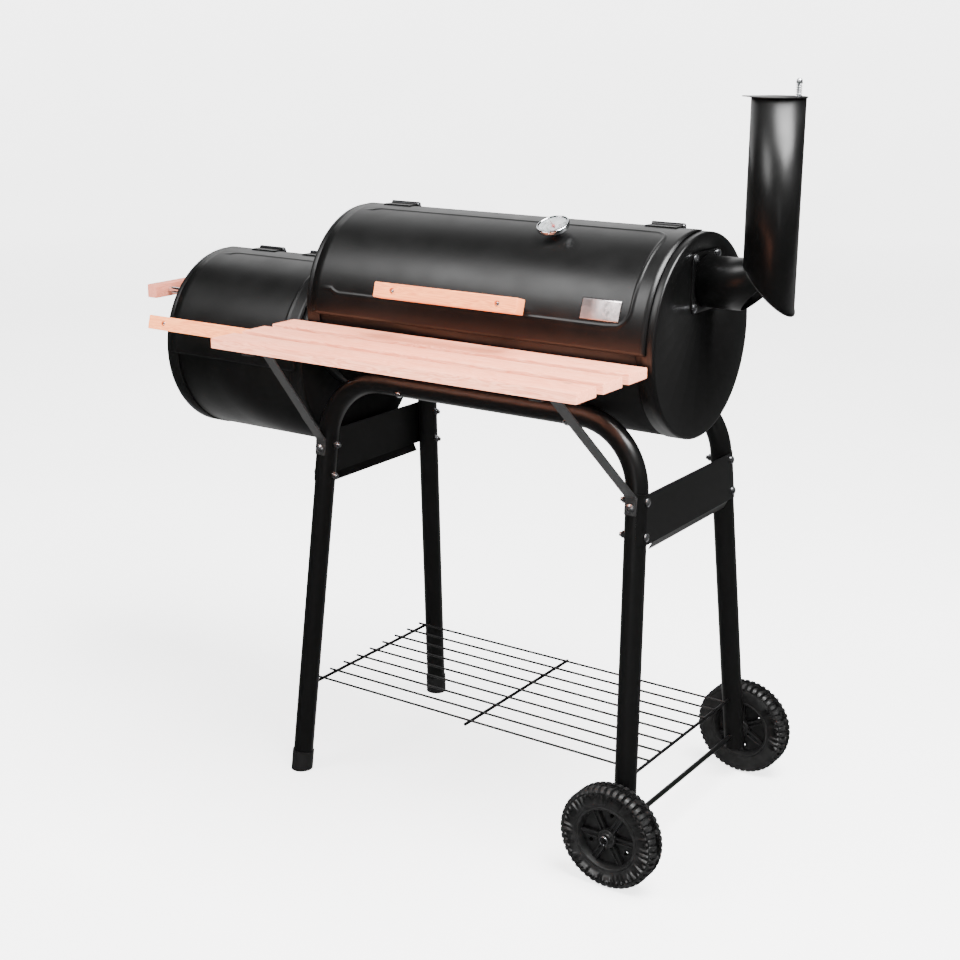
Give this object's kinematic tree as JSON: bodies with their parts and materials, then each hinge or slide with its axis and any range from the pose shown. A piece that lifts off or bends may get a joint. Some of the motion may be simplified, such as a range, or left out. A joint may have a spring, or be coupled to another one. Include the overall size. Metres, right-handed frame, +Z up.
{
  "type": "offset smoker",
  "caption": "Barrel charcoal smoker on a tube stand: offset firebox, hinged lids, chimney with swinging cap, wooden front shelf and handles, wire shelf, wheels.",
  "frame": {"origin": "on the floor, under the middle of the object's bounding box", "axes": "+Z up, the working side with the plank shelf faces -Y, the chimney is at +X and the firebox at -X"},
  "size_m": [1.0986, 0.5756, 1.109],
  "materials": {
    "black_paint": "satin heat-resistant black paint",
    "black_powder_coat": "satin black powder coat",
    "dark_strap": "fine-textured dark grey coat",
    "grate_steel": "plain wire, dulled",
    "pale_wood": "planed pale pine, bare",
    "zinc": "bright zinc plate",
    "chrome": "polished",
    "brushed_plate": "brushed",
    "dial_white": null,
    "needle_red": "painted",
    "glass": "clear",
    "black_plastic": "moulded",
    "wheel_black": "moulded, light grain"
  },
  "bodies": {
    "stand_and_barrels": {"main_shell": "black_paint", "main_cap_left": "black_paint", "main_cap_right": "black_paint", "firebox_shell": "black_paint", "firebox_cap_left": "black_paint", "firebox_cap_right": "black_paint", "heat_collar": "black_paint", "chimney_flange": "black_paint", "chimney_elbow": "black_paint", "chimney_pipe": "black_paint", "damper_bolt": "zinc", "damper_spring": "zinc", "cooking_grate_left": "grate_steel", "cooking_grate_right": "grate_steel", "charcoal_grate": "grate_steel", "firebox_grate": "grate_steel", "grate_rails": "grate_steel", "front_frame": "black_powder_coat", "rear_frame": "black_powder_coat", "left_panel": "black_powder_coat", "right_panel": "black_powder_coat", "front_foot": "black_plastic", "rear_foot": "black_plastic", "axle": "black_powder_coat", "axle_washers": "zinc", "axle_cotters": "zinc", "wire_shelf": "black_powder_coat", "plank_front": "pale_wood", "plank_middle": "pale_wood", "plank_rear": "pale_wood", "shelf_bracket_left": "black_powder_coat", "shelf_bracket_right": "black_powder_coat", "strut_left": "dark_strap", "strut_right": "dark_strap", "shelf_screws": "zinc", "stand_bolts": "zinc", "cradle_fasteners": "zinc", "cap_bolts": "zinc", "carry_handle": "pale_wood", "carry_handle_bolts": "chrome", "fixed_hinge_leaves": "black_powder_coat", "hinge_pins": "zinc"},
    "main_lid": {"main_lid": "black_paint", "main_lid_leaves": "black_powder_coat", "main_handle": "pale_wood", "main_handle_bolts": "chrome", "thermometer_case": "chrome", "thermometer_dial": "dial_white", "thermometer_glass": "glass", "name_plate": "brushed_plate"},
    "needle": {"thermometer_needle": "needle_red"},
    "firebox_lid": {"firebox_lid": "black_paint", "firebox_lid_leaves": "black_powder_coat", "firebox_handle": "pale_wood", "firebox_handle_bolts": "chrome"},
    "chimney_cap": {"chimney_cap": "black_paint"},
    "air_vent": {"air_vent": "dark_strap"},
    "front_wheel": {"front_wheel": "wheel_black"},
    "rear_wheel": {"rear_wheel": "wheel_black"}
  },
  "joints": [
    {"name": "main_lid_hinge", "type": "hinge", "parent": "stand_and_barrels", "child": "main_lid", "pos_m": [0.1167, 0.06452, 0.90388], "axis": [-1, 0, 0], "range_deg": [0, 115]},
    {"name": "firebox_lid_hinge", "type": "hinge", "parent": "stand_and_barrels", "child": "firebox_lid", "pos_m": [-0.3388, 0.06489, 0.81086], "axis": [-1, 0, 0], "range_deg": [0, 115]},
    {"name": "thermometer_sweep", "type": "hinge", "parent": "main_lid", "child": "needle", "pos_m": [0.2087, -0.01919, 0.89991], "axis": [0, 0.4115, -0.9114], "range_deg": [0, 270]},
    {"name": "chimney_cap_swing", "type": "hinge", "parent": "stand_and_barrels", "child": "chimney_cap", "pos_m": [0.5388, 0.04624, 1.083], "axis": [0, 0, 1], "range_deg": [-120, 120]},
    {"name": "air_vent_turn", "type": "hinge", "parent": "stand_and_barrels", "child": "air_vent", "pos_m": [-0.4843, 0.04624, 0.614], "axis": [1, 0, 0], "range_deg": [-45, 45]},
    {"name": "front_wheel_spin", "type": "hinge", "parent": "stand_and_barrels", "child": "front_wheel", "pos_m": [0.41329, -0.17227, 0.076], "axis": [0, 1, 0], "continuous": true},
    {"name": "rear_wheel_spin", "type": "hinge", "parent": "stand_and_barrels", "child": "rear_wheel", "pos_m": [0.41329, 0.26476, 0.076], "axis": [0, 1, 0], "continuous": true}
  ]
}
